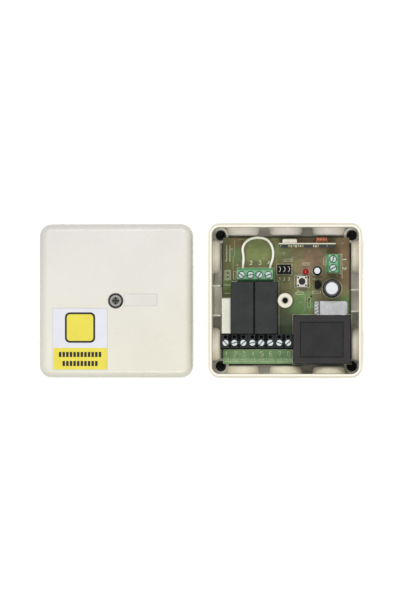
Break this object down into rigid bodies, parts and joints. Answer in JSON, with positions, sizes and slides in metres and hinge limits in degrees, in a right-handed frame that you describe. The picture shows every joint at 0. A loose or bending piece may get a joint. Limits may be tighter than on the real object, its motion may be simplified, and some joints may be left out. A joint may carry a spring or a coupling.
{
  "type": "shutter control unit",
  "caption": "Open surface-mounted shutter control box with its circuit board, relays, transformer and rising-cage terminals, and its cover with captive screw beside it.",
  "frame": {"origin": "centre of the box's back face, in the plane of the wall", "axes": "+Z out of the wall, +Y towards the control terminals' side of the box, +X from the cover that lies beside the box towards the box"},
  "size_m": [0.1826, 0.0868, 0.0355],
  "materials": {
    "box_plastic": "satin, cream white",
    "cover_plastic": "glossy, cream white",
    "membrane_rubber": "matte, pale cream",
    "grommet_rubber": "matte, black",
    "screw_steel": "zinc plated",
    "board_laminate": "green solder mask",
    "power_terminal_plastic": "satin, blue black",
    "control_terminal_plastic": "satin, green",
    "contact_brass": "tinned",
    "clamp_steel": "nickel plated",
    "wire_insulation": "satin, white",
    "relay_plastic": "satin, dark grey",
    "film_capacitor_plastic": "satin, off white",
    "transformer_plastic": "satin, near black",
    "switch_plastic": "matte, black",
    "plate_steel": "bright",
    "led_lens": "clear red",
    "capacitor_sleeve": "shrink sleeve, black",
    "black_plastic": "matte, black",
    "receiver_laminate": "green solder mask",
    "filter_ceramic": "matte, white",
    "coil_copper": "bare copper"
  },
  "bodies": {
    "box": {"base_box": "box_plastic", "cable_entry_membranes": "membrane_rubber", "fixing_hole_grommets": "grommet_rubber", "circuit_board": "board_laminate", "power_terminal_1": "power_terminal_plastic", "power_terminal_2": "power_terminal_plastic", "power_terminal_3": "power_terminal_plastic", "control_terminal": "control_terminal_plastic", "bus_terminal": "control_terminal_plastic", "terminal_contacts": "contact_brass", "link_wire": "wire_insulation", "relay_1": "relay_plastic", "relay_2": "relay_plastic", "suppression_capacitor": "film_capacitor_plastic", "transformer": "transformer_plastic", "switch_body": "switch_plastic", "switch_plate": "plate_steel", "status_led": "led_lens", "small_capacitor": "capacitor_sleeve", "large_capacitor": "capacitor_sleeve", "voltage_regulator": "black_plastic", "jumper_header": "black_plastic", "microcontroller": "black_plastic", "receiver_module": "receiver_laminate", "receiver_filter": "filter_ceramic", "receiver_coil": "coil_copper"},
    "lid": {"lid": "cover_plastic"},
    "cover_screw": {"cover_screw": "screw_steel"},
    "push_button": {"push_button": "switch_plastic"},
    "jumper_1": {"jumper_1": "black_plastic"},
    "jumper_2": {"jumper_2": "black_plastic"},
    "jumper_3": {"jumper_3": "black_plastic"},
    "terminal_screw_01": {"terminal_screw_01": "clamp_steel"},
    "terminal_cage_01": {"terminal_cage_01": "clamp_steel"},
    "terminal_screw_02": {"terminal_screw_02": "clamp_steel"},
    "terminal_cage_02": {"terminal_cage_02": "clamp_steel"},
    "terminal_screw_03": {"terminal_screw_03": "clamp_steel"},
    "terminal_cage_03": {"terminal_cage_03": "clamp_steel"},
    "terminal_screw_04": {"terminal_screw_04": "clamp_steel"},
    "terminal_cage_04": {"terminal_cage_04": "clamp_steel"},
    "terminal_screw_05": {"terminal_screw_05": "clamp_steel"},
    "terminal_cage_05": {"terminal_cage_05": "clamp_steel"},
    "terminal_screw_06": {"terminal_screw_06": "clamp_steel"},
    "terminal_cage_06": {"terminal_cage_06": "clamp_steel"},
    "terminal_screw_07": {"terminal_screw_07": "clamp_steel"},
    "terminal_cage_07": {"terminal_cage_07": "clamp_steel"},
    "terminal_screw_08": {"terminal_screw_08": "clamp_steel"},
    "terminal_cage_08": {"terminal_cage_08": "clamp_steel"},
    "terminal_screw_09": {"terminal_screw_09": "clamp_steel"},
    "terminal_cage_09": {"terminal_cage_09": "clamp_steel"},
    "terminal_screw_10": {"terminal_screw_10": "clamp_steel"},
    "terminal_cage_10": {"terminal_cage_10": "clamp_steel"},
    "terminal_screw_11": {"terminal_screw_11": "clamp_steel"},
    "terminal_cage_11": {"terminal_cage_11": "clamp_steel"},
    "terminal_screw_12": {"terminal_screw_12": "clamp_steel"},
    "terminal_cage_12": {"terminal_cage_12": "clamp_steel"},
    "terminal_screw_13": {"terminal_screw_13": "clamp_steel"},
    "terminal_cage_13": {"terminal_cage_13": "clamp_steel"},
    "terminal_screw_14": {"terminal_screw_14": "clamp_steel"},
    "terminal_cage_14": {"terminal_cage_14": "clamp_steel"}
  },
  "joints": [
    {"name": "lid_lift", "type": "slide", "parent": "box", "child": "lid", "axis": [0, 0, 1], "range_m": [0, 0.06]},
    {"name": "cover_screw_turn", "type": "hinge", "parent": "lid", "child": "cover_screw", "pos_m": [-0.0962, 0, 0.009], "axis": [0, 0, 1], "continuous": true},
    {"name": "push_button_press", "type": "slide", "parent": "box", "child": "push_button", "axis": [0, 0, -1], "range_m": [0, 0.0003], "stiffness_N_per_m": 400, "springref_m": -0.0005},
    {"name": "jumper_1_pull", "type": "slide", "parent": "box", "child": "jumper_1", "axis": [0, 0, 1], "range_m": [0, 0.007]},
    {"name": "jumper_2_pull", "type": "slide", "parent": "box", "child": "jumper_2", "axis": [0, 0, 1], "range_m": [0, 0.007]},
    {"name": "jumper_3_pull", "type": "slide", "parent": "box", "child": "jumper_3", "axis": [0, 0, 1], "range_m": [0, 0.007]},
    {"name": "terminal_screw_01_turn", "type": "hinge", "parent": "box", "child": "terminal_screw_01", "pos_m": [-0.0237, -0.0236, 0.02], "axis": [0, 0, 1], "range_deg": [-1440, 0]},
    {"name": "terminal_cage_01_rise", "type": "slide", "parent": "box", "child": "terminal_cage_01", "axis": [0, 0, 1], "range_m": [0, 0.002]},
    {"name": "terminal_screw_02_turn", "type": "hinge", "parent": "box", "child": "terminal_screw_02", "pos_m": [-0.0287, -0.0236, 0.02], "axis": [0, 0, 1], "range_deg": [-1440, 0]},
    {"name": "terminal_cage_02_rise", "type": "slide", "parent": "box", "child": "terminal_cage_02", "axis": [0, 0, 1], "range_m": [0, 0.002]},
    {"name": "terminal_screw_03_turn", "type": "hinge", "parent": "box", "child": "terminal_screw_03", "pos_m": [-0.0337, -0.0236, 0.02], "axis": [0, 0, 1], "range_deg": [-1440, 0]},
    {"name": "terminal_cage_03_rise", "type": "slide", "parent": "box", "child": "terminal_cage_03", "axis": [0, 0, 1], "range_m": [0, 0.002]},
    {"name": "terminal_screw_04_turn", "type": "hinge", "parent": "box", "child": "terminal_screw_04", "pos_m": [-0.00865, -0.0236, 0.02], "axis": [0, 0, 1], "range_deg": [-1440, 0]},
    {"name": "terminal_cage_04_rise", "type": "slide", "parent": "box", "child": "terminal_cage_04", "axis": [0, 0, 1], "range_m": [0, 0.002]},
    {"name": "terminal_screw_05_turn", "type": "hinge", "parent": "box", "child": "terminal_screw_05", "pos_m": [-0.01365, -0.0236, 0.02], "axis": [0, 0, 1], "range_deg": [-1440, 0]},
    {"name": "terminal_cage_05_rise", "type": "slide", "parent": "box", "child": "terminal_cage_05", "axis": [0, 0, 1], "range_m": [0, 0.002]},
    {"name": "terminal_screw_06_turn", "type": "hinge", "parent": "box", "child": "terminal_screw_06", "pos_m": [-0.01865, -0.0236, 0.02], "axis": [0, 0, 1], "range_deg": [-1440, 0]},
    {"name": "terminal_cage_06_rise", "type": "slide", "parent": "box", "child": "terminal_cage_06", "axis": [0, 0, 1], "range_m": [0, 0.002]},
    {"name": "terminal_screw_07_turn", "type": "hinge", "parent": "box", "child": "terminal_screw_07", "pos_m": [0.0014, -0.0236, 0.02], "axis": [0, 0, 1], "range_deg": [-1440, 0]},
    {"name": "terminal_cage_07_rise", "type": "slide", "parent": "box", "child": "terminal_cage_07", "axis": [0, 0, 1], "range_m": [0, 0.002]},
    {"name": "terminal_screw_08_turn", "type": "hinge", "parent": "box", "child": "terminal_screw_08", "pos_m": [-0.0036, -0.0236, 0.02], "axis": [0, 0, 1], "range_deg": [-1440, 0]},
    {"name": "terminal_cage_08_rise", "type": "slide", "parent": "box", "child": "terminal_cage_08", "axis": [0, 0, 1], "range_m": [0, 0.002]},
    {"name": "terminal_screw_09_turn", "type": "hinge", "parent": "box", "child": "terminal_screw_09", "pos_m": [-0.0247, 0.0144, 0.02], "axis": [0, 0, 1], "range_deg": [0, 604.8]},
    {"name": "terminal_cage_09_rise", "type": "slide", "parent": "box", "child": "terminal_cage_09", "axis": [0, 0, 1], "range_m": [-0.00084, 0]},
    {"name": "terminal_screw_10_turn", "type": "hinge", "parent": "box", "child": "terminal_screw_10", "pos_m": [-0.0197, 0.0144, 0.02], "axis": [0, 0, 1], "range_deg": [-1440, 0]},
    {"name": "terminal_cage_10_rise", "type": "slide", "parent": "box", "child": "terminal_cage_10", "axis": [0, 0, 1], "range_m": [0, 0.002]},
    {"name": "terminal_screw_11_turn", "type": "hinge", "parent": "box", "child": "terminal_screw_11", "pos_m": [-0.0147, 0.0144, 0.02], "axis": [0, 0, 1], "range_deg": [-1440, 0]},
    {"name": "terminal_cage_11_rise", "type": "slide", "parent": "box", "child": "terminal_cage_11", "axis": [0, 0, 1], "range_m": [0, 0.002]},
    {"name": "terminal_screw_12_turn", "type": "hinge", "parent": "box", "child": "terminal_screw_12", "pos_m": [-0.0097, 0.0144, 0.02], "axis": [0, 0, 1], "range_deg": [0, 604.8]},
    {"name": "terminal_cage_12_rise", "type": "slide", "parent": "box", "child": "terminal_cage_12", "axis": [0, 0, 1], "range_m": [-0.00084, 0]},
    {"name": "terminal_screw_13_turn", "type": "hinge", "parent": "box", "child": "terminal_screw_13", "pos_m": [0.0265, 0.0232, 0.02], "axis": [0, 0, 1], "range_deg": [-1440, 0]},
    {"name": "terminal_cage_13_rise", "type": "slide", "parent": "box", "child": "terminal_cage_13", "axis": [0, 0, 1], "range_m": [0, 0.002]},
    {"name": "terminal_screw_14_turn", "type": "hinge", "parent": "box", "child": "terminal_screw_14", "pos_m": [0.0265, 0.0182, 0.02], "axis": [0, 0, 1], "range_deg": [-1440, 0]},
    {"name": "terminal_cage_14_rise", "type": "slide", "parent": "box", "child": "terminal_cage_14", "axis": [0, 0, 1], "range_m": [0, 0.002]}
  ],
  "couplings": [
    {"joint": "terminal_screw_01_turn", "follows": "terminal_cage_01_rise", "rad_per_m": -12566},
    {"joint": "terminal_screw_02_turn", "follows": "terminal_cage_02_rise", "rad_per_m": -12566},
    {"joint": "terminal_screw_03_turn", "follows": "terminal_cage_03_rise", "rad_per_m": -12566},
    {"joint": "terminal_screw_04_turn", "follows": "terminal_cage_04_rise", "rad_per_m": -12566},
    {"joint": "terminal_screw_05_turn", "follows": "terminal_cage_05_rise", "rad_per_m": -12566},
    {"joint": "terminal_screw_06_turn", "follows": "terminal_cage_06_rise", "rad_per_m": -12566},
    {"joint": "terminal_screw_07_turn", "follows": "terminal_cage_07_rise", "rad_per_m": -12566},
    {"joint": "terminal_screw_08_turn", "follows": "terminal_cage_08_rise", "rad_per_m": -12566},
    {"joint": "terminal_screw_09_turn", "follows": "terminal_cage_09_rise", "rad_per_m": -12566},
    {"joint": "terminal_screw_10_turn", "follows": "terminal_cage_10_rise", "rad_per_m": -12566},
    {"joint": "terminal_screw_11_turn", "follows": "terminal_cage_11_rise", "rad_per_m": -12566},
    {"joint": "terminal_screw_12_turn", "follows": "terminal_cage_12_rise", "rad_per_m": -12566},
    {"joint": "terminal_screw_13_turn", "follows": "terminal_cage_13_rise", "rad_per_m": -12566},
    {"joint": "terminal_screw_14_turn", "follows": "terminal_cage_14_rise", "rad_per_m": -12566}
  ]
}
